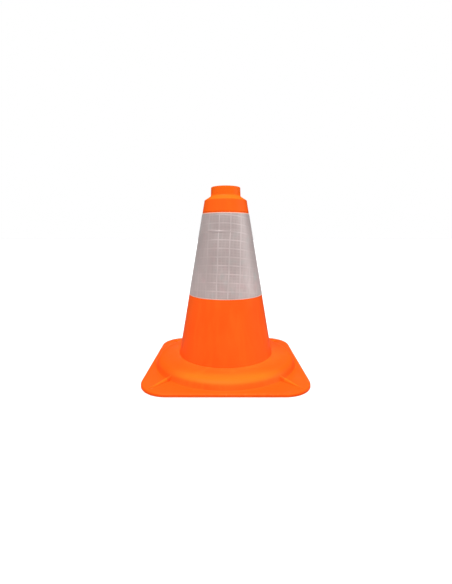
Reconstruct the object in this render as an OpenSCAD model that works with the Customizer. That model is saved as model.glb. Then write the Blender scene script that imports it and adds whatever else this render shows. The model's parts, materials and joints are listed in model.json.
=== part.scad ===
// Small road cone with a square weighted base and a reflective sleeve slipped on to a shallow seat.
// Millimetres. +Z is up, the ground is at z = 0 and the cone's axis is the Z axis.

/* [Cone] */
// Height from the ground to the rim of the neck
total_h = 300; // [290:1:320]
// Outer radius of the cone where it leaves the collar
foot_r = 78.5; // [77.5:0.1:79]
// Outer radius of the cone at its shoulder
shoulder_r = 35.4; // [34:0.1:37]
// Wall thickness, measured square to the wall
wall = 2.5; // [2:0.1:3]

/* [Neck] */
// Height of the neck and the sloping shoulder together
head_h = 21.8; // [19:0.2:25]
// Rise of the sloping shoulder, up to where it meets the neck
shoulder_rise = 6.8; // [6:0.2:9]
// Outer radius of the neck at its foot
neck_r = 25; // [24:0.1:26]
// Outer radius of the neck at its rim
neck_top_r = 24.4; // [23.5:0.1:25]
// Radius of the bore through the neck
neck_bore_r = 21.5; // [19:0.1:22]

/* [Base] */
// Side of the square base
base_w = 250; // [248:1:270]
// Radius of the base's corners
corner_r = 43.6; // [38:0.2:50]
// Height of the base plate's top face above the ground
plate_top = 5; // [4.4:0.1:5.6]
// Height of the collar where the cone leaves it
collar_top = 22; // [21.5:0.1:23]
// Radius of the collar's outer wall where it meets the plate
collar_r = 118; // [117:0.1:119]
// Thickness of the diagonal ribs
rib_t = 3.6; // [3:0.2:4]
// Height of the ribs' inner ends above the ground
rib_top = 13.2; // [12:0.2:14]

/* [Sleeve] */
// Height of the sleeve's lower edge above the ground
sleeve_low = 121.6; // [100:0.2:130]
// Height of the sleeve's upper edge above the ground
sleeve_high = 256.2; // [240:0.2:265]
// Plain margin of carrier above and below the film
sleeve_margin = 1.4; // [1:0.1:4]
// Thickness of the carrier
carrier_t = 0.3; // [0.3:0.05:0.5]
// Thickness of the reflective film
film_t = 0.16; // [0.1:0.02:0.2]

/* [Fixings] */
// Number of screws that hold the cone in the base
screw_count = 8; // [4:4:12]
// Radius of the circle of screws
screw_circle_r = 88; // [87.5:0.1:88.5]
// Radius of the screws' shanks
screw_r = 1.95; // [1.7:0.05:2]
// Radius of the rubber pads under the corners
pad_r = 11; // [8:0.5:13]

/* [Hidden] */
$fn = 96;

ORANGE = "#ff6a1c";
WHITE = "#e8e4e0";
SILVER = "#b9a9a5";

// How far a cutter runs past the faces it opens, and one solid into the next where they join
over = 1;

// Cone
shoulder_z = total_h - head_h;
taper = (foot_r - shoulder_r) / (shoulder_z - collar_top);
wall_across = wall * sqrt(1 + taper * taper);
shoulder_round = 1.2;
neck_fillet = 3.5;
rim_round = 1;
bore_edge_round = 0.6;
neck_foot_z = shoulder_z + shoulder_rise;
bore_low_z = neck_foot_z - 2;
flange_r = 96;
flange_top = 15;
flange_t = 3;
flange_low = flange_top - flange_t;
flange_edge_round = 0.5;
inner_top_z = bore_low_z - shoulder_rise + 1;
inner_fillet = 2;
fit_gap = 0.15;

// Base
plate_low = 0.5;
plate_edge_round = 1.8;
plate_foot_round = 0.4;
crease_round = 0.5;
shelf_break_r = 92;
shelf_slope_in = 4;
shelf_slope_out = 8.5;
shelf_round = 100;
flank_slope = 71;
collar_round = 12;
collar_fillet = 2;
collar_plate_r = 121.5;
hollow_r = 113;
hollow_round = 10;
hollow_edge_round = 0.5;
collar_lap = 2;
rib_in_r = 108;
rib_out_r = 153.5;
rib_root = 2;

// Ballast and fixings
ballast_in_r = 80.6;
ballast_out_r = 109.4;
ballast_low = 3;
ballast_edge = 1.2;
post_r = 3.6;
post_hole_r = post_r + 0.3;
washer_r = 6.5;
washer_t = 1;
washer_low = 3.4;
washer_pocket_r = washer_r + 0.4;
post_low = washer_low + washer_t;
pilot_r = screw_r + 0.05;
pilot_top = 16;
screw_len = 11;
screw_tip = 2;
head_r = 3.6;
head_t = 2.4;
head_round = 1.3;
recess_w = 0.9;
recess_l = 4.2;
recess_t = 1.3;
screw_gap = 0.2;
pad_t = 2.3;
pad_gap = 0.15;
pad_groove_w = 1;
pad_groove_t = 0.6;
pad_groove_at = [0.35 * pad_r, 0.65 * pad_r];
pad_offset = 92;

// Sleeve, and the seat let into the cone for it
seat_t = 0.45;
seat_gap = 0.3;
seat_over = 1;
seat_ramp = 1.5;
seat_low = sleeve_low - seat_gap;
seat_high = sleeve_high + seat_over;
sleeve_gap = 0.25;
layer_gap = 0.02;
carrier_in = sleeve_gap - seat_t;
film_in = carrier_in + carrier_t + layer_gap;
tape_in = film_in + film_t + layer_gap;
tape_t = 0.16;
tape_w = 14;

// Outer radius of the plain cone at height z
function cone_r(z) = foot_r - taper * (z - collar_top);

function unit(v) = v / norm(v);
function wrap(a) = a > 180 ? a - 360 : a < -180 ? a + 360 : a;

// Points along the arc of radius r that rounds the corner at b
function corner_arc(a, b, c, r, n = 8) =
    let (
        u = unit(a - b),
        v = unit(c - b),
        half = acos(u * v) / 2,
        centre = b + unit(u + v) * r / sin(half),
        p = b + u * r / tan(half) - centre,
        q = b + v * r / tan(half) - centre,
        start = atan2(p.y, p.x),
        sweep = wrap(atan2(q.y, q.x) - start)
    )
    [for (i = [0:n]) centre + r * [cos(start + sweep * i / n), sin(start + sweep * i / n)]];

// Closed outline through corners given as [x, y, radius]
function rounded(corners) =
    let (n = len(corners), at = [for (c = corners) [c.x, c.y]])
    [for (i = [0:n - 1])
        each corners[i][2] == 0
            ? [at[i]]
            : corner_arc(at[(i + n - 1) % n], at[i], at[(i + 1) % n], corners[i][2])];

// Copies spaced evenly round the axis, at the screws' places
module at_screws() {
    for (i = [0:screw_count - 1])
        rotate([0, 0, (i + 0.5) * 360 / screw_count])
            translate([screw_circle_r, 0, 0]) children();
}

// Copies at the base's four corners, on the diagonals
module at_corners() {
    for (i = [0:3]) rotate([0, 0, 45 + 90 * i]) children();
}

// Conical skin that follows the cone at a distance from its wall
module cone_skin(inset, thickness, low, high) {
    rotate_extrude()
        polygon([
            [cone_r(low) + inset, low],
            [cone_r(low) + inset + thickness, low],
            [cone_r(high) + inset + thickness, high],
            [cone_r(high) + inset, high]
        ]);
}

// Hollow cone with an open neck on top, the sleeve's shallow seat and a fixing flange at its foot
module cone_body() {
    color(ORANGE) difference() {
        rotate_extrude()
            polygon(rounded([
                [flange_r, flange_low, flange_edge_round],
                [flange_r, flange_top, flange_edge_round],
                [cone_r(flange_top), flange_top, 0],
                [cone_r(seat_low), seat_low, 0],
                [cone_r(seat_low) - seat_t, seat_low, 0],
                [cone_r(seat_high) - seat_t, seat_high, 0],
                [cone_r(seat_high + seat_ramp), seat_high + seat_ramp, 0],
                [shoulder_r, shoulder_z, shoulder_round],
                [neck_r, neck_foot_z, neck_fillet],
                [neck_top_r, total_h, rim_round],
                [neck_bore_r, total_h, bore_edge_round],
                [neck_bore_r, bore_low_z, 0],
                [cone_r(inner_top_z) - wall_across, inner_top_z, inner_fillet],
                [cone_r(flange_low) - wall_across, flange_low, 0]
            ]));
        at_screws() translate([0, 0, flange_low - over])
            cylinder(r = post_hole_r, h = flange_t + 2 * over, $fn = 32);
    }
}

// Outline across the plate's rounded edge, from the middle to half the given width
module plate_section(half_w) {
    polygon(rounded([
        [0, plate_low, 0],
        [half_w, plate_low, plate_foot_round],
        [half_w, plate_top, plate_edge_round],
        [0, plate_top, 0]
    ]));
}

// Straight run of the plate between two corners, along Y
module plate_bar() {
    run = base_w - 2 * corner_r;
    for (side = [0, 1]) mirror([side, 0, 0])
        translate([0, run / 2, 0]) rotate([90, 0, 0])
            linear_extrude(run) plate_section(base_w / 2);
}

// Square plate with round corners and a rounded edge
module plate() {
    corner_at = base_w / 2 - corner_r;
    plate_bar();
    rotate([0, 0, 90]) plate_bar();
    for (x = [-1, 1], y = [-1, 1])
        translate([x * corner_at, y * corner_at, 0]) rotate_extrude() plate_section(corner_r);
}

// Raised ring round the cone, hollow underneath
module collar() {
    crease_r = cone_r(collar_top) + fit_gap;
    break_z = collar_top - (shelf_break_r - crease_r) * tan(shelf_slope_in);
    // The shelf's outer line and the flank's line meet at the collar's rounded edge
    edge_r = (collar_r - (break_z - plate_top + shelf_break_r * tan(shelf_slope_out)) / tan(flank_slope))
        / (1 - tan(shelf_slope_out) / tan(flank_slope));
    edge_z = break_z - (edge_r - shelf_break_r) * tan(shelf_slope_out);
    rotate_extrude()
        polygon(rounded([
            [cone_r(flange_top) + fit_gap, flange_top, 0],
            [crease_r, collar_top, crease_round],
            [shelf_break_r, break_z, shelf_round],
            [edge_r, edge_z, collar_round],
            [collar_r, plate_top, collar_fillet],
            [collar_plate_r, plate_top, 0],
            [collar_plate_r, plate_low, 0],
            [hollow_r, plate_low, hollow_edge_round],
            [hollow_r, flange_top, hollow_round]
        ]));
}

// Low gusset that falls from the collar to the base's corner, with a round crest
module rib() {
    run = rib_out_r - rib_in_r;
    drop = rib_top - plate_top;
    crest_r = rib_t / 2;
    translate([0, crest_r, 0]) rotate([90, 0, 0])
        linear_extrude(rib_t)
            polygon([
                [rib_in_r, plate_top - rib_root],
                [rib_out_r, plate_top - rib_root],
                [rib_out_r, plate_top - crest_r],
                [rib_in_r, rib_top - crest_r]
            ]);
    translate([rib_in_r, 0, rib_top - crest_r]) rotate([0, 90 + atan2(drop, run), 0]) {
        cylinder(r = crest_r, h = norm([run, drop]), $fn = 32);
        translate([0, 0, norm([run, drop])]) sphere(r = crest_r, $fn = 32);
    }
}

// Square base with its collar, ribs and screw posts
module base_shell() {
    color(ORANGE) {
        difference() {
            union() {
                difference() {
                    union() {
                        plate();
                        at_corners() rib();
                    }
                    translate([0, 0, -over]) cylinder(r = hollow_r + collar_lap, h = collar_top + 2 * over);
                }
                collar();
            }
            at_corners() translate([pad_offset * sqrt(2), 0, 0])
                cylinder(r = pad_r + pad_gap, h = pad_t, $fn = 48);
        }
        at_screws() difference() {
            translate([0, 0, post_low]) cylinder(r = post_r, h = flange_top + over - post_low, $fn = 32);
            translate([0, 0, post_low - over])
                cylinder(r = pilot_r, h = pilot_top - post_low + over, $fn = 32);
        }
    }
}

// Heavy ring in the collar's hollow, under the cone's flange
module ballast_ring() {
    color("#242424") difference() {
        rotate_extrude()
            polygon(rounded([
                [ballast_in_r, ballast_low, ballast_edge],
                [ballast_out_r, ballast_low, ballast_edge],
                [ballast_out_r, flange_low, ballast_edge],
                [ballast_in_r, flange_low, ballast_edge]
            ]));
        at_screws() {
            translate([0, 0, ballast_low - over])
                cylinder(r = post_hole_r, h = flange_low - ballast_low + 2 * over, $fn = 32);
            translate([0, 0, ballast_low - over])
                cylinder(r = washer_pocket_r, h = post_low - ballast_low + over, $fn = 48);
        }
    }
}

// One screw, pointing up, with its head's seat at z = 0
module screw() {
    difference() {
        rotate_extrude($fn = 48)
            polygon(rounded([
                [0, -head_t, 0],
                [head_r, -head_t, head_round],
                [head_r, 0, 0],
                [screw_r, 0, 0],
                [screw_r, screw_len - screw_tip, 0],
                [0, screw_len, 0]
            ]));
        for (turn = [0, 90]) rotate([0, 0, turn])
            translate([-recess_l / 2, -recess_w / 2, -head_t - over])
                cube([recess_l, recess_w, recess_t + over]);
    }
}

// Screws driven up through the washers into the base's posts
module flange_screws() {
    color("#9a9da0") at_screws() translate([0, 0, washer_low]) screw();
}

// Washers that carry the ballast ring and the flange on the posts
module screw_washers() {
    color("#8b8e91") at_screws() translate([0, 0, washer_low])
        difference() {
            cylinder(r = washer_r, h = washer_t, $fn = 48);
            translate([0, 0, -over]) cylinder(r = screw_r + screw_gap, h = washer_t + 2 * over, $fn = 32);
        }
}

// Grooved rubber disc let into the underside of a corner, counted from +X +Y towards -X
module foot_pad(i) {
    color("#1c1c1c") rotate([0, 0, 90 * i - 45]) translate([pad_offset * sqrt(2), 0, 0]) difference() {
        cylinder(r = pad_r, h = pad_t, $fn = 48);
        for (groove_r = pad_groove_at)
            translate([0, 0, -over]) difference() {
                cylinder(r = groove_r + pad_groove_w, h = pad_groove_t + over, $fn = 48);
                translate([0, 0, -over]) cylinder(r = groove_r, h = pad_groove_t + 3 * over, $fn = 48);
            }
    }
}

// White flexible tube that carries the film
module sleeve_carrier() {
    color(WHITE) cone_skin(carrier_in, carrier_t, sleeve_low, sleeve_high);
}

// Reflective film round the carrier
module sleeve_film() {
    color(SILVER)
        cone_skin(film_in, film_t, sleeve_low + sleeve_margin, sleeve_high - sleeve_margin);
}

// Tape over the film's joint, at the back
module sleeve_seam_tape() {
    color("#cfc8c4") intersection() {
        cone_skin(tape_in, tape_t, sleeve_low + sleeve_margin, sleeve_high - sleeve_margin);
        translate([-tape_w / 2, 0, sleeve_low]) cube([tape_w, foot_r, sleeve_high - sleeve_low]);
    }
}

cone_body();
base_shell();
ballast_ring();
flange_screws();
screw_washers();
for (i = [1:4]) foot_pad(i);
sleeve_carrier();
sleeve_film();
sleeve_seam_tape();
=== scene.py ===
"""Looks of a small road cone: smooth moulded shells, a slip-on reflective sleeve and the fixings underneath.

Lengths in this file are in millimetres, in the row frame, and become metres where a mesh is made.
"""

import json
import math

import bmesh
import bpy
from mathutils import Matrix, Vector, geometry, noise


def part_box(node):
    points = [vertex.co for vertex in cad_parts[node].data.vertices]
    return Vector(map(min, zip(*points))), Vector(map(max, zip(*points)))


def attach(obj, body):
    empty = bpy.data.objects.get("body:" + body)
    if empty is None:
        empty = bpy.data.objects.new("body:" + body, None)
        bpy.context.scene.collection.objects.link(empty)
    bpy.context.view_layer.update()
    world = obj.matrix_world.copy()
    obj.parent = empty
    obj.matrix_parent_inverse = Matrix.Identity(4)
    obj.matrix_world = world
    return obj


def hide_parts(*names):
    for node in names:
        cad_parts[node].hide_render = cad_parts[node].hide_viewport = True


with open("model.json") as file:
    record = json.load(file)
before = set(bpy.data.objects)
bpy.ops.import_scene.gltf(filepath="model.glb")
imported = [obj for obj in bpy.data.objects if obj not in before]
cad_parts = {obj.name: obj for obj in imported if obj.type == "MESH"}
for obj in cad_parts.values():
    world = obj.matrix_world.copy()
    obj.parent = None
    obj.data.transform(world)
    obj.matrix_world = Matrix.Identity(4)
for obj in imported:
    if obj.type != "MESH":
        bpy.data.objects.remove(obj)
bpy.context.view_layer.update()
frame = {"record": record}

MM = 0.001


def node_box(name):
    """Lowest and highest corner of a CAD node, in millimetres."""
    low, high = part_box(name)
    return low / MM, high / MM


# ---------------------------------------------------------------- sizes, from the frame where it holds them
CONE_LOW, CONE_HIGH = node_box("cone_body")
BASE_LOW, BASE_HIGH = node_box("base_shell")
RING_LOW, RING_HIGH = node_box("ballast_ring")
CARRIER_LOW, CARRIER_HIGH = node_box("sleeve_carrier")
FILM_LOW, FILM_HIGH = node_box("sleeve_film")
TAPE_LOW, TAPE_HIGH = node_box("sleeve_seam_tape")
PAD_LOW, PAD_HIGH = node_box("foot_pad_1")
WASHER_LOW, WASHER_HIGH = node_box("screw_washers")
SCREW_LOW, SCREW_HIGH = node_box("flange_screws")
NECK_BORE_R = frame["record"]["mounts"][0]["dims"]["r_mm"]

# Cone, from its flange up; its foot is at the crease round it, and its wall is measured level
RIM_Z = CONE_HIGH.z
FLANGE_Z = CONE_LOW.z
FLANGE_TOP = FLANGE_Z + 3
FLANGE_R = CONE_HIGH.x
FOOT_R, FOOT_Z = 78.5, 22
SHOULDER_R, SHOULDER_Z = 35.4, RIM_Z - 21.8
NECK_R, NECK_Z, NECK_TOP_R = 25.0, SHOULDER_Z + 6.8, 24.4
WALL_ACROSS = 2.535
CONE_STEPS = 224
TAPER = (FOOT_R - SHOULDER_R) / (SHOULDER_Z - FOOT_Z)
APEX_Z = FOOT_Z + FOOT_R / TAPER
CONE_ANGLE = math.atan(TAPER)

# Seat for the sleeve: its depth, its two ends, and where the ramp above it is back on the cone
SEAT_T = 0.45
SEAT_LOW, SEAT_HIGH = CARRIER_LOW.z - 0.3, CARRIER_HIGH.z + 1
SEAT_RAMP_TOP = SEAT_HIGH + 1.5

# Base
HALF_W = BASE_HIGH.x
PLATE_LOW = BASE_LOW.z
PLATE_TOP = 5
CORNER_R = 43.6
PLATE_ROUND, PLATE_FOOT_ROUND = 1.8, 0.4
HOLLOW_R, HOLLOW_ROUND = 113, 10
FIT_GAP = 0.15

# Collar: a shelf round the cone that steepens at a break, then a steep flank down to the plate; in degrees
SHELF_SLOPE_IN, SHELF_SLOPE_OUT, FLANK_SLOPE = 4, 8.5, 71
# Its radii at the break, at the flank's foot and where the fillet has run out, and the roundings between
SHELF_BREAK_R, COLLAR_R, COLLAR_PLATE_R = 92, 118, 121.5
SHELF_ROUND, COLLAR_ROUND, COLLAR_FILLET = 100, 12, 2

# Ribs: the crest falls from its top, at the inner radius, to the plate at the outer one
RIB_IN, RIB_OUT, RIB_TOP, RIB_HALF = 108, 153.5, 13.2, 1.8
# Angles round the base: degrees from a rib's middle, and the step between angles up to there
RIB_STEPS = ((1.9, 0.13), (3.2, 0.3), (8, 0.6), (45, 1.25))

# Fixings
SCREWS = 8
SCREW_CIRCLE_R = 88
POST_R, POST_HOLE_R, PILOT_R, PILOT_TOP = 3.6, 3.9, 2.0, 16
PAD_R = 11
PAD_AT = PAD_HIGH.x - PAD_R
PAD_GAP = 0.15
WASHER_R = 6.5
SCREW_R = 1.95
RING_IN_R = 80.6

# Sleeve: thickness of the carrier, and of the film and the tape
CARRIER_T, FILM_T = 0.3, 0.16
# The film's sealed grid: its pitch across and up the sheet, and the fine cells along each side of a square
GRID_ACROSS, GRID_UP, CELLS = 18.0, 13.35, 3
# How far the grid is turned on the sheet, in degrees, about which height on it, and its offset
GRID_TURN, GRID_TURN_AT, GRID_OFFSET = 2.3, 300, (12.1, 266.2)
# The film's pinched fold: its height above the ground, half its width and how far it stands out
FOLD_Z, FOLD_HALF, FOLD_UP = 226.8, 1.7, 0.5
# Where it starts, weakens and ends, and how slowly, in degrees from the front towards +X
FOLD_START, FOLD_WEAK, FOLD_END, FOLD_FADE = -44, 0, 30, 12
# Short upright folds over it: degrees round, heights, how many in a whole turn and how far they stand out
PLEAT_START, PLEAT_END, PLEAT_LOW, PLEAT_TOP = 2, 40, 238, 254
PLEATS_PER_TURN, PLEAT_UP = 52, 0.09

# Camera: its place, degrees that it is tipped down, lens, and shift as a share of the picture
CAMERA_AT, CAMERA_TIP = (0, -545.5, 215.1), 4.27
CAMERA_LENS, CAMERA_SHIFT = 19.8, (0.0006, -0.0505)

# Light of the surroundings from below, from the side and from above
SKY_BELOW, SKY_SIDE, SKY_TOP = 1.1, 0.05, 0.05
# Soft lights: direction as degrees right of the camera and degrees up, spread in degrees, share of full light
LIGHTS = {
    "key": (-22, 65, 40, 1.40),
    "front": (50, 45, 40, 0.20),
    "left": (-80, 20, 40, 0.07),
    "right": (85, 20, 40, 0.38),
    "behind": (180, 5, 30, 0.50),
}


def cone_r(z):
    """Outer radius of the plain cone at height z."""
    return FOOT_R - TAPER * (z - FOOT_Z)


# ---------------------------------------------------------------- outlines
def corner_arc(a, b, c, radius, steps):
    """Points along the arc that rounds the corner at b."""
    u, v = (a - b).normalized(), (c - b).normalized()
    half = u.angle(v) / 2
    centre = b + (u + v).normalized() * radius / math.sin(half)
    start = b + u * radius / math.tan(half) - centre
    end = b + v * radius / math.tan(half) - centre
    sweep = math.atan2(start.x * end.y - start.y * end.x, start.dot(end))
    first = math.atan2(start.y, start.x)
    turns = [first + sweep * i / steps for i in range(steps + 1)]
    return [centre + radius * Vector((math.cos(t), math.sin(t))) for t in turns]


def rounded(corners, steps=8, closed=True):
    """Outline through corners given as (x, y, radius); an open one keeps its two end points."""
    at = [Vector(c[:2]) for c in corners]
    points = []
    for i, (_, _, radius) in enumerate(corners):
        ends = not closed and i in (0, len(corners) - 1)
        if radius == 0 or ends:
            points.append(at[i])
        else:
            points += corner_arc(at[i - 1], at[i], at[(i + 1) % len(at)], radius, steps)
    return points


def spaced(points, step):
    """The same open line with extra points, so that no stretch is longer than step."""
    out = [points[0]]
    for a, b in zip(points, points[1:]):
        parts = max(1, math.ceil((b - a).length / step))
        out += [a.lerp(b, k / parts) for k in range(1, parts + 1)]
    return out


# ---------------------------------------------------------------- mesh building
def circle_angles(steps):
    """Evenly spaced angles round a full turn."""
    return [2 * math.pi * i / steps for i in range(steps)]


def ring(bm, radius, z, angles, centre=(0, 0)):
    """One loop of vertices round a vertical axis."""
    return [
        bm.verts.new(Vector((centre[0] + radius * math.cos(t), centre[1] + radius * math.sin(t), z)) * MM)
        for t in angles
    ]


def strip(bm, a, b, closed=True):
    """Quads between two loops of the same length."""
    n = len(a)
    for i in range(n if closed else n - 1):
        k = (i + 1) % n
        bm.faces.new((a[i], a[k], b[k], b[i]))


def revolve(bm, points, angles, centre=(0, 0)):
    """Rings along an open outline of (radius, z) points, joined by strips; returns the rings."""
    rings = [ring(bm, p.x, p.y, angles, centre) for p in points]
    for a, b in zip(rings, rings[1:]):
        strip(bm, a, b)
    return rings


def within(point, outline):
    """Whether a flat point lies inside a closed outline."""
    crossed = 0
    for a, b in zip(outline, outline[1:] + outline[:1]):
        if (a.y > point.y) != (b.y > point.y):
            crossed += point.x < a.x + (point.y - a.y) / (b.y - a.y) * (b.x - a.x)
    return crossed % 2 == 1


def fill(bm, *loops):
    """Flat face of triangles between an outer loop and the loops of its holes."""
    verts, pairs = [], []
    for loop in loops:
        for i, v in enumerate(loop):
            w = (i + 1) % len(loop)
            edge = bm.edges.get((v, loop[w])) or bm.edges.new((v, loop[w]))
            edge.smooth = False
            pairs.append((len(verts) + i, len(verts) + w))
        verts += loop
    holes = [[v.co.xy / MM for v in loop] for loop in loops[1:]]
    within_outer, tolerance = 1, 1e-5
    made = geometry.delaunay_2d_cdt([v.co.xy / MM for v in verts], pairs, [], within_outer, tolerance)
    triangles, sources = made[2:4]
    for triangle in triangles:
        corners = [verts[sources[corner][0]] for corner in triangle]
        middle = sum((v.co.xy for v in corners), Vector((0, 0))) / 3 / MM
        if not any(within(middle, hole) for hole in holes):
            bm.faces.new(corners)


def roughen(bm, amount, size, seed, keep):
    """Pushes the kept part of a surface in and out a little, as a moulding is never quite true."""
    bm.normal_update()
    shift = Vector((seed, seed * 1.7, seed * 0.3))
    moves = [
        (v, v.normal * amount * MM * noise.noise(v.co / (size * MM) + shift))
        for v in bm.verts
        if keep(v.co / MM)
    ]
    for v, move in moves:
        v.co += move


def finish_piece(bm, name, body, node, material):
    """Turns bm into a shaded piece that rides on its body and stands for its CAD node."""
    sharp_angle = math.radians(40)
    bmesh.ops.recalc_face_normals(bm, faces=bm.faces)
    for face in bm.faces:
        face.smooth = True
    for edge in bm.edges:
        if len(edge.link_faces) == 2 and edge.calc_face_angle() > sharp_angle:
            edge.smooth = False
    mesh = bpy.data.meshes.new(name)
    bm.to_mesh(mesh)
    bm.free()
    piece = bpy.data.objects.new(name, mesh)
    bpy.context.scene.collection.objects.link(piece)
    mesh.materials.append(material)
    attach(piece, body)
    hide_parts(node)
    return piece


def screw_places():
    """Centres of the screws, evenly spaced on their circle."""
    turns = [(i + 0.5) * 2 * math.pi / SCREWS for i in range(SCREWS)]
    return [(SCREW_CIRCLE_R * math.cos(t), SCREW_CIRCLE_R * math.sin(t)) for t in turns]


# ---------------------------------------------------------------- node materials
class Nodes:
    """A node material being built; add() makes a node and links or sets its inputs."""

    def __init__(self, name):
        self.material = bpy.data.materials.new(name)
        self.material.use_nodes = True
        self.tree = self.material.node_tree
        self.tree.nodes.clear()

    def add(self, kind, inputs=None, **settings):
        made = self.tree.nodes.new("ShaderNode" + kind)
        for key, value in settings.items():
            setattr(made, key, value)
        for key, value in (inputs or {}).items():
            socket = made.inputs[key]
            if isinstance(value, bpy.types.NodeSocket):
                self.tree.links.new(value, socket)
            else:
                socket.default_value = value
        return made

    def place(self):
        """Position on the piece, in metres in the row frame at rest."""
        return self.add("TexCoord").outputs["Object"]

    def math(self, operation, a, b=0.0):
        return self.add("Math", {0: a, 1: b}, operation=operation).outputs[0]

    def noise(self, where, scale, detail, rough=0.5):
        inputs = {"Vector": where, "Scale": scale, "Detail": detail, "Roughness": rough}
        return self.add("TexNoise", inputs).outputs["Fac"]

    def ramp(self, value, low, high, to_low=0.0, to_high=1.0, smooth=True):
        inputs = {"Value": value, "From Min": low, "From Max": high, "To Min": to_low, "To Max": to_high}
        kind = "SMOOTHSTEP" if smooth else "LINEAR"
        return self.add("MapRange", inputs, interpolation_type=kind).outputs["Result"]

    def ramp_mm(self, value, low, high, *ends):
        """A ramp along a length, with its two places in millimetres."""
        return self.ramp(value, low * MM, high * MM, *ends)

    def mix(self, factor, a, b):
        made = self.add("Mix", data_type="RGBA")
        for socket, value in ((made.inputs[0], factor), (made.inputs[6], a), (made.inputs[7], b)):
            if isinstance(value, bpy.types.NodeSocket):
                self.tree.links.new(value, socket)
            else:
                socket.default_value = value
        return made.outputs[2]

    def bump(self, height, distance_mm, strength, under=None):
        inputs = {"Height": height, "Distance": distance_mm * MM, "Strength": strength}
        if under is not None:
            inputs["Normal"] = under
        return self.add("Bump", inputs).outputs["Normal"]

    def surface(self, inputs):
        shader = self.add("BsdfPrincipled", inputs)
        out = self.add("OutputMaterial")
        self.tree.links.new(shader.outputs[0], out.inputs["Surface"])
        return self.material


def grey(value):
    return (value, value, value, 1.0)


def orange_pvc():
    """Soft PVC with a satin skin: mottling, faint upright flow marks, pale flecks and a fine grain.

    It has a painted highlight on the neck, the shoulder, the ribs and the front of the collar, and painted
    shade on the rest of the collar; the plate is darker. The plate's edge has pale scuffs.
    """
    n = Nodes("orange_pvc")
    at = n.place()
    parts = n.add("SeparateXYZ", {"Vector": at}).outputs
    height = parts["Z"]
    axis_at = n.add("CombineXYZ", {"X": parts["X"], "Y": parts["Y"]}).outputs[0]
    radius = n.add("VectorMath", {0: axis_at}, operation="LENGTH").outputs["Value"]
    outward = n.math("MAXIMUM", n.math("ABSOLUTE", parts["X"]), n.math("ABSOLUTE", parts["Y"]))

    mottle = n.ramp(n.noise(at, 14, 4), 0.3, 0.7)
    colour = n.mix(mottle, (0.945, 0.097, 0.0083, 1), (0.985, 0.113, 0.0103, 1))
    drawn = n.add("Mapping", {"Vector": at, "Scale": (1.0, 1.0, 0.12)}).outputs[0]
    flow = n.ramp(n.noise(drawn, 85, 3), 0.45, 0.72, 0.0, 0.5)
    colour = n.mix(flow, colour, (0.985, 0.128, 0.0115, 1))
    fleck = n.ramp(n.noise(at, 900, 2), 0.60, 0.76, 0.0, 0.22)
    colour = n.mix(fleck, colour, (0.98, 0.17, 0.03, 1))

    # Painted highlight: the collar's crown at the front, the ribs' crests, and the cone above the sleeve with
    # its shoulder and neck are made paler
    front = n.ramp_mm(parts["Y"], -64, -100)
    crown_r = n.ramp_mm(radius, SHELF_BREAK_R, SHELF_BREAK_R + 14)
    crown = n.math("MULTIPLY", crown_r, n.ramp_mm(height, 11.5, 15.5, 0.0, 0.75))
    rib_r = n.ramp_mm(radius, COLLAR_PLATE_R + 1, COLLAR_PLATE_R + 2.5)
    rib = n.math("MULTIPLY", rib_r, n.ramp_mm(height, PLATE_TOP + 0.3, PLATE_TOP + 1.2))
    shoulder = n.ramp_mm(height, SHOULDER_Z - 4.2, SHOULDER_Z + 1.3)
    top = n.math("MAXIMUM", shoulder, n.ramp_mm(height, 235, 262, 0.0, 0.35))
    painted_highlight_and_wear = n.math("MAXIMUM", n.math("MULTIPLY", crown, front), n.math("MAXIMUM", rib, top))
    colour = n.mix(painted_highlight_and_wear, colour, (0.99, 0.146, 0.0088, 1))

    # Painted shade: the collar away from the front is darker; the plate up to its edge is darker too
    collar = n.math("MULTIPLY", n.math("SUBTRACT", 1.0, front), n.ramp_mm(radius, 80, 100, 0.0, 0.85))
    collar = n.math("MULTIPLY", collar, n.math("SUBTRACT", 1.0, rib))
    plate = n.ramp_mm(height, PLATE_TOP + 2.5, PLATE_TOP + 0.2, 0.0, 0.7)
    on_edge = n.ramp_mm(outward, HALF_W - 1.2, HALF_W - 0.2)
    painted_shade_and_plate = n.math("MULTIPLY", n.math("MAXIMUM", collar, plate), n.math("SUBTRACT", 1.0, on_edge))
    colour = n.mix(painted_shade_and_plate, colour, (0.93, 0.089, 0.0050, 1))

    # Scuffed: streaks along the plate's edge
    near_edge = n.ramp_mm(outward, HALF_W - 3, HALF_W)
    streaks = n.ramp(n.noise(at, 260, 5, 0.65), 0.55, 0.72)
    scuff = n.math("MULTIPLY", n.math("MULTIPLY", near_edge, streaks), 0.32)
    colour = n.mix(scuff, colour, (0.96, 0.24, 0.08, 1))

    rough = n.ramp(n.noise(at, 35, 4), 0.3, 0.7, 0.40, 0.50)
    rough = n.math("ADD", rough, n.math("MULTIPLY", scuff, 0.6))
    peel = n.bump(n.noise(at, 420, 2), 0.08, 0.5)
    grain = n.bump(n.noise(at, 2600, 2), 0.03, 0.4, peel)
    return n.surface({
        "Base Color": colour, "Roughness": rough, "Normal": grain, "IOR": 1.5,
        "Specular IOR Level": 0.06, "Specular Tint": (1.0, 0.7, 0.45, 1.0),
    })


def grid_line(n, coordinate, pitch, width, soft):
    """1 on thin lines that repeat every pitch along a coordinate, falling to 0 beside them."""
    across = n.math("PINGPONG", coordinate, pitch / 2 * MM)
    return n.ramp_mm(across, width / 2 + soft, width / 2)


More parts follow.
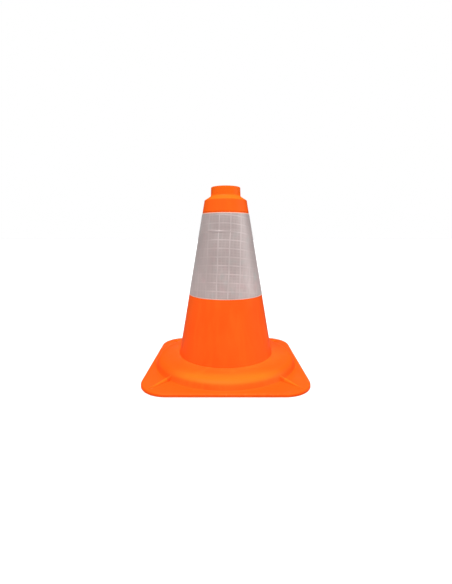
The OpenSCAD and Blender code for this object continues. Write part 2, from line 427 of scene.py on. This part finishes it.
def reflective_film():
    """Silver prismatic film, darker towards its top: pale seal lines on a turned grid, and prisms between.

    Its attribute "sheet" is the place on the flat sheet that it was cut from.
    """
    n = Nodes("reflective_film")
    sheet = n.add("Attribute", attribute_name="sheet").outputs["Vector"]
    wander = n.add("TexNoise", {"Vector": sheet, "Scale": 24.0, "Detail": 2.0}).outputs["Color"]
    wander = n.add("VectorMath", {0: wander, 1: (0.5, 0.5, 0.5)}, operation="SUBTRACT").outputs[0]
    wander = n.add("VectorMath", {0: wander, "Scale": 2.8 * MM}, operation="SCALE").outputs[0]
    flat = n.add("VectorMath", {0: sheet, 1: wander}, operation="ADD").outputs[0]
    parts = n.add("SeparateXYZ", {"Vector": flat}).outputs
    u, v = parts["X"], parts["Y"]

    cell_across, cell_up = GRID_ACROSS / CELLS, GRID_UP / CELLS
    main_u = grid_line(n, u, GRID_ACROSS, 1.0, 0.8)
    main_v = grid_line(n, v, GRID_UP, 0.9, 0.8)
    fine_u = grid_line(n, u, cell_across, 0.4, 0.7)
    fine_v = grid_line(n, v, cell_up, 0.4, 0.6)
    # The seals are rubbed faint in broad bands, and in patches between them
    from_band = n.math("PINGPONG", n.math("SUBTRACT", u, 14 * MM), 55 * MM)
    band = n.ramp_mm(from_band, 12, 40, 1.0, 0.25)
    patch = n.ramp(n.noise(sheet, 38, 2), 0.35, 0.65, 0.45, 1.0)
    presence = n.math("MULTIPLY", band, patch)
    main = n.math("MULTIPLY", n.math("MAXIMUM", main_u, main_v), presence)
    fine = n.math("MULTIPLY", n.math("MAXIMUM", fine_u, fine_v), n.math("MULTIPLY", presence, 0.28))
    lines = n.math("MAXIMUM", main, fine)

    cell_u = n.math("FLOOR", n.math("DIVIDE", u, cell_across * MM))
    cell_v = n.math("FLOOR", n.math("DIVIDE", v, cell_up * MM))
    cell = n.add("CombineXYZ", {"X": cell_u, "Y": cell_v}).outputs[0]
    cell_tone = n.add("TexWhiteNoise", {"Vector": cell}, noise_dimensions="3D").outputs["Value"]
    broad = n.noise(sheet, 30, 2)
    tint = n.noise(sheet, 55, 1)
    drawn = n.add("Mapping", {"Vector": sheet, "Scale": (1.0, 0.16, 1.0)}).outputs[0]
    streak = n.noise(drawn, 330, 2)

    dark = (0.36, 0.29, 0.28, 1)
    base = n.mix(n.ramp(broad, 0.3, 0.7), (0.445, 0.358, 0.345, 1), (0.520, 0.424, 0.410, 1))
    base = n.mix(n.ramp(tint, 0.56, 0.72, 0.0, 0.5), base, (0.42, 0.43, 0.41, 1))
    base = n.mix(n.ramp(tint, 0.44, 0.30, 0.0, 0.5), base, (0.52, 0.36, 0.36, 1))
    base = n.mix(n.ramp(cell_tone, 0, 1, 0, 0.14, smooth=False), base, dark)
    base = n.mix(n.ramp(streak, 0.35, 0.65, 0.0, 0.32), base, dark)
    height = n.add("SeparateXYZ", {"Vector": n.place()}).outputs["Z"]
    base = n.mix(n.ramp_mm(height, 140, 190, 0.0, 0.5), base, dark)
    base = n.mix(n.math("MULTIPLY", lines, 0.55), base, (0.68, 0.58, 0.57, 1))

    prisms = n.add("TexVoronoi", {"Vector": sheet, "Scale": 1500.0, "Randomness": 0.25}).outputs["Distance"]
    relief = n.bump(prisms, 0.05, 0.35)
    relief = n.bump(lines, 0.10, 0.5, relief)
    rough = n.ramp(broad, 0.3, 0.7, 0.42, 0.50)
    return n.surface({
        "Base Color": base, "Roughness": rough, "Normal": relief, "Metallic": 0.1, "IOR": 1.5,
        "Coat Weight": 0.3, "Coat Roughness": 0.30, "Sheen Weight": 0.25, "Sheen Roughness": 0.5,
    })


def white_pvc():
    """Thin carrier of a warm white, paler towards its lower edge, with a woven core that shows faintly."""
    n = Nodes("white_pvc")
    at = n.place()
    height = n.add("SeparateXYZ", {"Vector": at}).outputs["Z"]
    colour = n.mix(n.ramp_mm(height, 130, 240), (0.95, 0.64, 0.53, 1), (0.68, 0.47, 0.38, 1))
    colour = n.mix(n.ramp(n.noise(at, 60, 4), 0.35, 0.75, 0.0, 0.4), colour, (0.60, 0.44, 0.38, 1))
    weave = n.add("TexWave", {"Vector": at, "Scale": 320.0, "Distortion": 1.5}, bands_direction="Z")
    relief = n.bump(weave.outputs["Fac"], 0.03, 0.4)
    return n.surface({"Base Color": colour, "Roughness": 0.5, "Normal": relief})


def seam_tape():
    """Silver tape with a faint lengthways grain."""
    n = Nodes("seam_tape")
    at = n.place()
    streak_at = n.add("Mapping", {"Vector": at, "Scale": (900, 900, 25)}).outputs[0]
    streak = n.add("TexNoise", {"Vector": streak_at, "Scale": 1.0, "Detail": 2.0}).outputs["Fac"]
    colour = n.mix(n.ramp(streak, 0.3, 0.7), (0.56, 0.50, 0.48, 1), (0.66, 0.60, 0.58, 1))
    relief = n.bump(streak, 0.03, 0.4)
    return n.surface({"Base Color": colour, "Roughness": 0.36, "Normal": relief, "Metallic": 0.2})


def ballast_rubber():
    """Pressed recycled crumb: dark, matt and flecked."""
    n = Nodes("ballast_rubber")
    at = n.place()
    crumb = n.add("TexVoronoi", {"Vector": at, "Scale": 420.0})
    pick = n.add("SeparateXYZ", {"Vector": crumb.outputs["Color"]}).outputs["X"]
    colour = n.mix(n.ramp(pick, 0.5, 0.95, smooth=False), grey(0.012), grey(0.05))
    colour = n.mix(n.ramp(pick, 0.965, 0.975), colour, (0.32, 0.06, 0.02, 1))
    relief = n.bump(crumb.outputs["Distance"], 0.25, 0.8)
    return n.surface({"Base Color": colour, "Roughness": 0.82, "Normal": relief})


def zinc_steel():
    """Zinc-plated steel with a faint crystalline bloom."""
    n = Nodes("zinc_steel")
    at = n.place()
    bloom = n.noise(at, 700, 4)
    colour = n.mix(n.ramp(bloom, 0.3, 0.7), (0.55, 0.55, 0.53, 1), (0.70, 0.70, 0.69, 1))
    rough = n.ramp(bloom, 0.3, 0.7, 0.28, 0.45)
    relief = n.bump(bloom, 0.02, 0.5)
    return n.surface({"Base Color": colour, "Roughness": rough, "Metallic": 1.0, "Normal": relief})


def pad_rubber():
    """Black rubber, rubbed grey where it meets the ground."""
    n = Nodes("pad_rubber")
    at = n.place()
    height = n.add("SeparateXYZ", {"Vector": at}).outputs["Z"]
    painted_highlight_and_wear = n.math("MULTIPLY", n.ramp_mm(height, 0.4, 0.0), n.ramp(n.noise(at, 300, 4), 0.35, 0.7))
    colour = n.mix(painted_highlight_and_wear, grey(0.018), grey(0.10))
    relief = n.bump(n.noise(at, 1500, 3), 0.06, 0.6)
    return n.surface({"Base Color": colour, "Roughness": 0.75, "Normal": relief})


# ---------------------------------------------------------------- pieces of the cone's body
def build_cone(material):
    """Hollow cone with its neck on top, the sleeve's seat, and its flange drilled for the posts."""
    bm = bmesh.new()
    angles = circle_angles(CONE_STEPS)
    bore_low = NECK_Z - 2
    inner_top = bore_low - 5.8
    edge = 0.5
    outer = rounded([
        (FLANGE_R - 2, FLANGE_Z, 0),
        (FLANGE_R, FLANGE_Z, edge),
        (FLANGE_R, FLANGE_TOP, edge),
        (FLANGE_R - 2, FLANGE_TOP, 0),
    ], closed=False)
    skin = rounded([
        (cone_r(FLANGE_TOP), FLANGE_TOP, 0),
        (cone_r(SEAT_LOW), SEAT_LOW, 0.15),
        (cone_r(SEAT_LOW) - SEAT_T, SEAT_LOW, 0.1),
        (cone_r(SEAT_HIGH) - SEAT_T, SEAT_HIGH, 0.4),
        (cone_r(SEAT_RAMP_TOP), SEAT_RAMP_TOP, 0.4),
        (SHOULDER_R, SHOULDER_Z, 1.2),
        (NECK_R, NECK_Z, 3.5),
        (NECK_TOP_R, RIM_Z, 1.0),
        (NECK_BORE_R, RIM_Z, 0.6),
        (NECK_BORE_R, bore_low, 0),
        (cone_r(inner_top) - WALL_ACROSS, inner_top, 2),
        (cone_r(FLANGE_Z) - WALL_ACROSS, FLANGE_Z, 0),
    ], closed=False)
    rim_rings = revolve(bm, outer, angles)
    skin_rings = revolve(bm, spaced(skin, step=3.5), angles)
    hole = circle_angles(28)
    holes_low, holes_top = [], []
    for place in screw_places():
        low = ring(bm, POST_HOLE_R, FLANGE_Z, hole, place)
        top = ring(bm, POST_HOLE_R, FLANGE_TOP, hole, place)
        strip(bm, low, top)
        holes_low.append(low)
        holes_top.append(top)
    fill(bm, rim_rings[-1], skin_rings[0], *holes_top)
    fill(bm, rim_rings[0], skin_rings[-1], *holes_low)
    roughen(bm, amount=0.06, size=45, seed=3.1, keep=lambda co: FOOT_Z + 6 < co.z < RIM_Z - 4)
    return finish_piece(bm, "cone_moulding", "cone", "cone_body", material)


def base_outline(turn):
    """Point and outward direction on the square base's outline, on the ray at this angle."""
    ray = Vector((math.cos(turn), math.sin(turn)))
    corner = HALF_W - CORNER_R
    sx, sy = math.copysign(1, ray.x), math.copysign(1, ray.y)
    side = HALF_W / max(abs(ray.x), abs(ray.y))
    at = ray * side
    if abs(at.x) > corner and abs(at.y) > corner:
        centre = Vector((sx * corner, sy * corner))
        along = ray.dot(centre)
        at = ray * (along + math.sqrt(along**2 - centre.length_squared + CORNER_R**2))
        return at, (at - centre).normalized()
    if abs(ray.x) > abs(ray.y):
        return at, Vector((sx, 0))
    return at, Vector((0, sy))


def base_angles():
    """Angles round the base, close together across the diagonal ribs and wider apart between them."""
    away = [0.0]
    while away[-1] < 45:
        away.append(away[-1] + next(step for limit, step in RIB_STEPS if away[-1] < limit))
    away = [a * 45 / away[-1] for a in away]
    quarter = [45 - a for a in reversed(away[1:])] + [45 + a for a in away[:-1]]
    return [math.radians(t + 90 * k) for k in range(4) for t in quarter]


def soft_max(a, b, blend):
    """The larger of two heights, with a fillet where they cross."""
    share = min(1.0, max(0.0, 0.5 + 0.5 * (a - b) / blend))
    return b + (a - b) * share + blend * share * (1 - share)


def rib_height(x, y):
    """Height of the nearest diagonal rib's surface over a point: a round crest with steep straight sides."""
    along = (abs(x) + abs(y)) / math.sqrt(2)
    across = abs(abs(x) - abs(y)) / math.sqrt(2)
    crest = RIB_TOP - (along - RIB_IN) * (RIB_TOP - PLATE_TOP) / (RIB_OUT - RIB_IN)
    round_half, side_slope = RIB_HALF * 0.94, 5.5
    if across < round_half:
        return crest - RIB_HALF + math.sqrt(RIB_HALF**2 - across**2)
    drop = RIB_HALF - math.sqrt(RIB_HALF**2 - round_half**2)
    return crest - drop - (across - round_half) * side_slope


def collar_outline():
    """The collar's outer section, from the crease round the cone to its foot on the plate."""
    crease_r = cone_r(FOOT_Z) + FIT_GAP
    slope_in, slope_out = math.tan(math.radians(SHELF_SLOPE_IN)), math.tan(math.radians(SHELF_SLOPE_OUT))
    flank = math.tan(math.radians(FLANK_SLOPE))
    break_z = FOOT_Z - (SHELF_BREAK_R - crease_r) * slope_in
    edge_r = (COLLAR_R - (break_z - PLATE_TOP + SHELF_BREAK_R * slope_out) / flank) / (1 - slope_out / flank)
    edge_z = break_z - (edge_r - SHELF_BREAK_R) * slope_out
    return [
        (crease_r, FOOT_Z, 0.5),
        (SHELF_BREAK_R, break_z, SHELF_ROUND),
        (edge_r, edge_z, COLLAR_ROUND),
        (COLLAR_R, PLATE_TOP, COLLAR_FILLET),
        (COLLAR_PLATE_R, PLATE_TOP, 0),
    ]


def build_base(material):
    """Square base: collar, plate with a rounded edge, ribs, hollow underside, posts and pad recesses."""
    bm = bmesh.new()
    angles = base_angles()
    hole_low = (cone_r(FLANGE_TOP) + FIT_GAP, FLANGE_TOP, 0)
    section = rounded([hole_low] + collar_outline(), steps=14, closed=False)
    rings = [ring(bm, p.x, p.y, angles) for p in spaced(section, step=1.6)]

    # From the collar's foot out to the plate's rounded edge and round under it
    outline = [base_outline(t) for t in angles]
    edge = rounded([
        (-PLATE_ROUND - 0.6, PLATE_TOP, 0),
        (0, PLATE_TOP, PLATE_ROUND),
        (0, PLATE_LOW, PLATE_FOOT_ROUND),
        (-PLATE_FOOT_ROUND - 0.4, PLATE_LOW, 0),
    ], steps=7, closed=False)
    plate_rows = 16
    start = [Vector((COLLAR_PLATE_R * math.cos(t), COLLAR_PLATE_R * math.sin(t))) for t in angles]
    stop = [at + out * edge[0].x for at, out in outline]
    for row in range(1, plate_rows):
        share = row / plate_rows
        flat = [a.lerp(b, share) for a, b in zip(start, stop)]
        rings.append([bm.verts.new(Vector((p.x, p.y, PLATE_TOP)) * MM) for p in flat])
    for p in edge:
        flat = [at + out * p.x for at, out in outline]
        rings.append([bm.verts.new(Vector((f.x, f.y, p.y)) * MM) for f in flat])
    for a, b in zip(rings, rings[1:]):
        strip(bm, a, b)

    # Ribs rise out of the plate and the collar's flank
    rib_fillet = 0.9
    for v in bm.verts:
        x, y, z = v.co / MM
        if z > PLATE_TOP - 0.05:
            v.co.z = soft_max(z, rib_height(x, y), rib_fillet) * MM
    roughen(bm, amount=0.09, size=38, seed=7.7,
            keep=lambda co: co.z > PLATE_TOP and co.xy.length < HALF_W - 4)

    # Hollow underneath
    hollow = rounded([
        (HOLLOW_R, PLATE_LOW, 0),
        (HOLLOW_R, FLANGE_TOP, HOLLOW_ROUND),
        (HOLLOW_R - HOLLOW_ROUND - 0.6, FLANGE_TOP, 0),
    ], steps=10, closed=False)
    round_angles = circle_angles(192)
    hollow_rings = revolve(bm, spaced(hollow, step=3), round_angles)
    pad_loops = []
    pad_angles = circle_angles(48)
    for x in (-PAD_AT, PAD_AT):
        for y in (-PAD_AT, PAD_AT):
            mouth = ring(bm, PAD_R + PAD_GAP, PLATE_LOW, pad_angles, (x, y))
            roof = ring(bm, PAD_R + PAD_GAP, PAD_HIGH.z, pad_angles, (x, y))
            strip(bm, mouth, roof)
            fill(bm, roof)
            pad_loops.append(mouth)
    fill(bm, rings[-1], hollow_rings[0], *pad_loops)
    post_loops = []
    post = rounded([
        (POST_R, FLANGE_TOP, 0),
        (POST_R, WASHER_HIGH.z, 0.4),
        (PILOT_R, WASHER_HIGH.z, 0.3),
        (PILOT_R, PILOT_TOP, 0),
    ], steps=3, closed=False)
    for place in screw_places():
        post_rings = revolve(bm, post, circle_angles(28), place)
        fill(bm, post_rings[-1])
        post_loops.append(post_rings[0])
    fill(bm, hollow_rings[-1], rings[0], *post_loops)
    return finish_piece(bm, "base_moulding", "cone", "base_shell", material)


def build_ballast(material):
    """Crumb ring with a through hole and a washer pocket at each post."""
    bm = bmesh.new()
    angles = circle_angles(160)
    inner, outer, low, top = RING_IN_R, RING_HIGH.x, RING_LOW.z, RING_HIGH.z
    # The lower inside edge stays sharper, to clear the washer pockets
    edge, sharp_edge = 1.2, 0.3
    outside = rounded([
        (outer - 3, low, 0), (outer, low, edge), (outer, top, edge), (outer - 3, top, 0)
    ], steps=5, closed=False)
    through = rounded([
        (inner + sharp_edge + 0.05, low, 0), (inner, low, sharp_edge), (inner, top, edge), (inner + 3, top, 0)
    ], steps=5, closed=False)
    out_rings = revolve(bm, outside, angles)
    in_rings = revolve(bm, through, angles)
    pockets, holes = [], []
    pocket_r = WASHER_R + 0.4
    pocket = [
        Vector((pocket_r, low)),
        Vector((pocket_r, WASHER_HIGH.z)),
        Vector((POST_HOLE_R, WASHER_HIGH.z)),
        Vector((POST_HOLE_R, top)),
    ]
    for place in screw_places():
        rings = revolve(bm, pocket, circle_angles(32), place)
        pockets.append(rings[0])
        holes.append(rings[-1])
    fill(bm, out_rings[0], in_rings[0], *pockets)
    fill(bm, out_rings[-1], in_rings[-1], *holes)
    return finish_piece(bm, "ballast_crumb_ring", "cone", "ballast_ring", material)


def build_washers(material):
    """Flat washers with softened edges."""
    bm = bmesh.new()
    low, top, hole_r = WASHER_LOW.z, WASHER_HIGH.z, SCREW_R + 0.2
    section = rounded([
        (hole_r, low, 0.12), (WASHER_R, low, 0.3), (WASHER_R, top, 0.12), (hole_r, top, 0.12)
    ], steps=3)
    for place in screw_places():
        rings = revolve(bm, section, circle_angles(40), place)
        strip(bm, rings[-1], rings[0])
    return finish_piece(bm, "plated_washers", "cone", "screw_washers", material)


def cross_loop(bm, length, width, z, place):
    """Loop of vertices round a cross-shaped recess."""
    end, side = length / 2, width / 2
    arm = [(end, -side), (end, side), (side, side)]
    loop = []
    for quarter in range(4):
        c, s = math.cos(quarter * math.pi / 2), math.sin(quarter * math.pi / 2)
        loop += [(x * c - y * s + place[0], x * s + y * c + place[1]) for x, y in arm]
    return [bm.verts.new(Vector((x, y, z)) * MM) for x, y in loop]


def build_screws(material):
    """Pan-head screws, heads down, with a cross recess and a rolled thread."""
    bm = bmesh.new()
    head_r, head_flat_r, head_low, seat, tip = 3.6, 2.6, SCREW_LOW.z, WASHER_LOW.z, SCREW_HIGH.z
    core_r, pitch, rows_per_turn = 1.5, 1.1, 8
    point_length, point_share = 2.2, 0.06
    recess_depth = 1.3
    angles = circle_angles(24)
    head = rounded([
        (head_flat_r, head_low, 0), (head_r, head_low, 1.3), (head_r, seat, 0.15), (SCREW_R, seat, 0)
    ], steps=6, closed=False)
    rows = int((tip - seat) / pitch * rows_per_turn)
    for place in screw_places():
        head_rings = revolve(bm, head, angles, place)
        mouth = cross_loop(bm, 4.2, 0.9, head_low, place)
        bottom = cross_loop(bm, 3.4, 0.6, head_low + recess_depth, place)
        strip(bm, mouth, bottom)
        fill(bm, head_rings[0], mouth)
        fill(bm, bottom)
        last = head_rings[-1]
        for row in range(1, rows):
            z = seat + (tip - seat) * row / rows
            taper = max(point_share, min(1.0, (tip - z) / point_length))
            loop = []
            for t in angles:
                wave = abs(((z / pitch - t / (2 * math.pi)) % 1) * 2 - 1)
                radius = (core_r + (SCREW_R - core_r) * max(0.0, wave * 1.5 - 0.5)) * taper
                at = Vector((place[0] + radius * math.cos(t), place[1] + radius * math.sin(t), z))
                loop.append(bm.verts.new(at * MM))
            strip(bm, last, loop)
            last = loop
        fill(bm, last)
    return finish_piece(bm, "plated_screws", "cone", "flange_screws", material)


def build_pads(material):
    """Grooved rubber discs under the corners, counted from +X +Y towards -X."""
    low, top = PAD_LOW.z, PAD_HIGH.z
    groove_w, groove_t = 1.0, 0.6
    centre_r = 1.0
    corners = [(centre_r, top, 0), (PAD_R, top, 0.2), (PAD_R, low, 0.35)]
    for r in (PAD_R * 0.65, PAD_R * 0.35):
        corners += [(r + groove_w, low, 0.15), (r + groove_w, low + groove_t, 0.15)]
        corners += [(r, low + groove_t, 0.15), (r, low, 0.15)]
    corners.append((centre_r, low, 0))
    outline = rounded(corners, steps=4, closed=False)
    for number, (x, y) in enumerate([(1, 1), (-1, 1), (-1, -1), (1, -1)], 1):
        bm = bmesh.new()
        rings = revolve(bm, outline, circle_angles(56), (x * PAD_AT, y * PAD_AT))
        fill(bm, rings[0])
        fill(bm, rings[-1])
        finish_piece(bm, f"grooved_pad_{number}", "cone", f"foot_pad_{number}", material)


# ---------------------------------------------------------------- pieces of the sleeve
def build_carrier(material):
    """White tube, with its edges rounded over."""
    bm = bmesh.new()
    low, top = CARRIER_LOW.z, CARRIER_HIGH.z
    outer = CARRIER_HIGH.x - cone_r(low)
    inner = outer - CARRIER_T
    section = rounded([
        (cone_r(low) + inner, low, 0.1), (cone_r(low) + outer, low, 0.14),
        (cone_r(top) + outer, top, 0.14), (cone_r(top) + inner, top, 0.1),
    ], steps=4)
    closed = section + [section[0]]
    rings = revolve(bm, spaced(closed, step=6)[:-1], circle_angles(CONE_STEPS))
    strip(bm, rings[-1], rings[0])
    return finish_piece(bm, "carrier_tube", "sleeve", "sleeve_carrier", material)


def window(value, low, high, fade):
    """1 between low and high, falling to 0 over the fade inside each end."""
    return max(0.0, min(1.0, (value - low) / fade, (high - value) / fade))


def wrinkle(turn, z):
    """Height of the film's waves and folds at an angle from the front; they only ever stand outward.

    Beside the slight waves all round there is one pinched fold near the top, and short upright ones above it.
    """
    p = Vector((2.2 * math.cos(turn), 2.2 * math.sin(turn), z / 26))
    wave = noise.noise(p + Vector((4.2, 1.3, 9.1)))
    slow = noise.noise(p * 0.45 + Vector((7.7, 3.9, 0.4)))
    height = 0.07 * max(0.0, wave + 0.35) + 0.05 * max(0.0, slow + 0.3)

    along = math.degrees(turn)
    strong = window(along, FOLD_START, FOLD_WEAK, FOLD_FADE)
    weak = window(along, FOLD_START, FOLD_END, FOLD_FADE)
    fold_z = FOLD_Z + 0.4 * math.sin(turn * 7)
    across = (z - fold_z) / FOLD_HALF
    height += FOLD_UP * (0.6 * strong + 0.4 * weak) * max(0.0, 1 - across**2) ** 2

    reach = window(along, PLEAT_START, PLEAT_END, 10) * window(z, PLEAT_LOW, PLEAT_TOP, 4)
    return height + PLEAT_UP * reach * max(0.0, math.sin(PLEATS_PER_TURN * turn))


def sheet_point(turn, z):
    """Where a point of the film lies on the flat sheet it was cut from, in metres.

    turn is measured from the front, towards +X. The sheet's grid is set at a slight slant.
    """
    slant = (APEX_Z - z) / math.cos(CONE_ANGLE)
    opened = turn * math.sin(CONE_ANGLE)
    u, v = slant * math.sin(opened), -slant * math.cos(opened)
    tilt = math.tan(math.radians(GRID_TURN))
    grid_u = u - (v + GRID_TURN_AT) * tilt + GRID_OFFSET[0]
    grid_v = v + u * tilt + GRID_OFFSET[1]
    return Vector((grid_u, grid_v, 0)) * MM


def build_skin(name, node, material, low, top, inner, middle, half_turn, steps, rows):
    """Thin closed sheet that follows the cone at a distance of inner from it.

    It reaches half_turn(z) to each side of a middle angle, which is measured from the front.
    """
    bm = bmesh.new()
    layer = bm.verts.layers.float_vector.new("sheet")
    grids = []
    for depth in (inner + FILM_T, inner):
        grid = []
        for row in range(rows + 1):
            z = low + (top - low) * row / rows
            line = []
            for step in range(steps + 1):
                turn = middle + half_turn(z) * (2 * step / steps - 1)
                r = cone_r(z) + depth + wrinkle(turn, z)
                v = bm.verts.new(Vector((r * math.sin(turn), -r * math.cos(turn), z)) * MM)
                v[layer] = sheet_point(turn, z)
                line.append(v)
            grid.append(line)
        for a, b in zip(grid, grid[1:]):
            strip(bm, a, b, closed=False)
        grids.append(grid)
    out, back = grids
    for end in (0, -1):
        strip(bm, out[end], back[end], closed=False)
        strip(bm, [row[end] for row in out], [row[end] for row in back], closed=False)
    return finish_piece(bm, name, "sleeve", node, material)


def build_film(material):
    """The reflective film, whose two ends all but meet at the back."""
    inner = FILM_HIGH.x - FILM_T - cone_r(FILM_LOW.z)
    half_gap = 0.004
    return build_skin(
        "prismatic_film", "sleeve_film", material, FILM_LOW.z, FILM_HIGH.z, inner,
        middle=0, half_turn=lambda z: math.pi - half_gap, steps=300, rows=132)


def build_tape(material):
    """Tape of one width over the film's joint, at the back."""
    glue_t = 0.02
    inner = FILM_HIGH.x - cone_r(FILM_LOW.z) + glue_t
    # Allows for the tape's thickness and its waves, which widen it
    stand_out = 0.3
    return build_skin(
        "seam_tape_strip", "sleeve_seam_tape", material, TAPE_LOW.z, TAPE_HIGH.z, inner,
        middle=math.pi, half_turn=lambda z: math.asin(TAPE_HIGH.x / (cone_r(z) + inner + stand_out)),
        steps=16, rows=66)


# ---------------------------------------------------------------- stage
def build_stage():
    """Pale floor in white surroundings; the sky that lights the object is brightest below it."""
    scene = bpy.context.scene
    scene.view_settings.view_transform = "Standard"
    world = bpy.data.worlds.new("studio")
    world.use_nodes = True
    tree = world.node_tree
    direction = tree.nodes.new("ShaderNodeTexCoord").outputs["Generated"]
    parts = tree.nodes.new("ShaderNodeSeparateXYZ")
    tree.links.new(direction, parts.inputs[0])
    # 0 straight down, 0.5 level and 1 straight up
    height = tree.nodes.new("ShaderNodeMapRange")
    height.inputs["From Min"].default_value = -1
    tree.links.new(parts.outputs["Z"], height.inputs["Value"])
    sky = tree.nodes.new("ShaderNodeValToRGB")
    sky.color_ramp.elements.new(0.5)
    for stop, value in zip(sky.color_ramp.elements, (SKY_BELOW, SKY_SIDE, SKY_TOP)):
        stop.color = grey(value)
    tree.links.new(height.outputs["Result"], sky.inputs["Fac"])
    seen = tree.nodes.new("ShaderNodeMix")
    seen.data_type = "RGBA"
    tree.links.new(tree.nodes.new("ShaderNodeLightPath").outputs["Is Camera Ray"], seen.inputs[0])
    tree.links.new(sky.outputs["Color"], seen.inputs[6])
    seen.inputs[7].default_value = grey(1)
    tree.links.new(seen.outputs[2], tree.nodes["Background"].inputs["Color"])
    scene.world = world

    bm = bmesh.new()
    floor_r = 40000
    bmesh.ops.create_circle(bm, cap_ends=True, radius=floor_r * MM, segments=96)
    mesh = bpy.data.meshes.new("floor")
    bm.to_mesh(mesh)
    bm.free()
    floor = bpy.data.objects.new("floor", mesh)
    scene.collection.objects.link(floor)
    floor.location.z = -0.2 * MM
    floor.visible_diffuse = False
    floor.visible_glossy = False
    n = Nodes("floor")
    mesh.materials.append(n.surface({"Base Color": grey(0.93), "Roughness": 0.9, "Specular IOR Level": 0.1}))


def build_lights():
    """Wide soft suns; the one behind gives no highlight."""
    for name, (across, up, spread, share) in LIGHTS.items():
        data = bpy.data.lights.new(name, "SUN")
        data.energy = share * math.pi
        data.angle = math.radians(spread)
        light = bpy.data.objects.new(name, data)
        bpy.context.scene.collection.objects.link(light)
        a, e = math.radians(across), math.radians(up)
        toward = Vector((math.sin(a) * math.cos(e), -math.cos(a) * math.cos(e), math.sin(e)))
        light.rotation_euler = toward.to_track_quat("Z", "Y").to_euler()
        light.visible_glossy = name != "behind"


def build_camera():
    """View from the front, tipped down a little."""
    data = bpy.data.cameras.new("camera")
    data.sensor_width = 36
    data.lens = CAMERA_LENS
    data.shift_x, data.shift_y = CAMERA_SHIFT
    camera = bpy.data.objects.new("camera", data)
    bpy.context.scene.collection.objects.link(camera)
    camera.location = Vector(CAMERA_AT) * MM
    camera.rotation_euler = (math.radians(90 - CAMERA_TIP), 0, 0)
    bpy.context.scene.camera = camera


# ---------------------------------------------------------------- the whole
orange = orange_pvc()
steel = zinc_steel()
build_cone(orange)
build_base(orange)
build_ballast(ballast_rubber())
build_washers(steel)
build_screws(steel)
build_pads(pad_rubber())
build_carrier(white_pvc())
build_film(reflective_film())
build_tape(seam_tape())
build_stage()
build_lights()
build_camera()
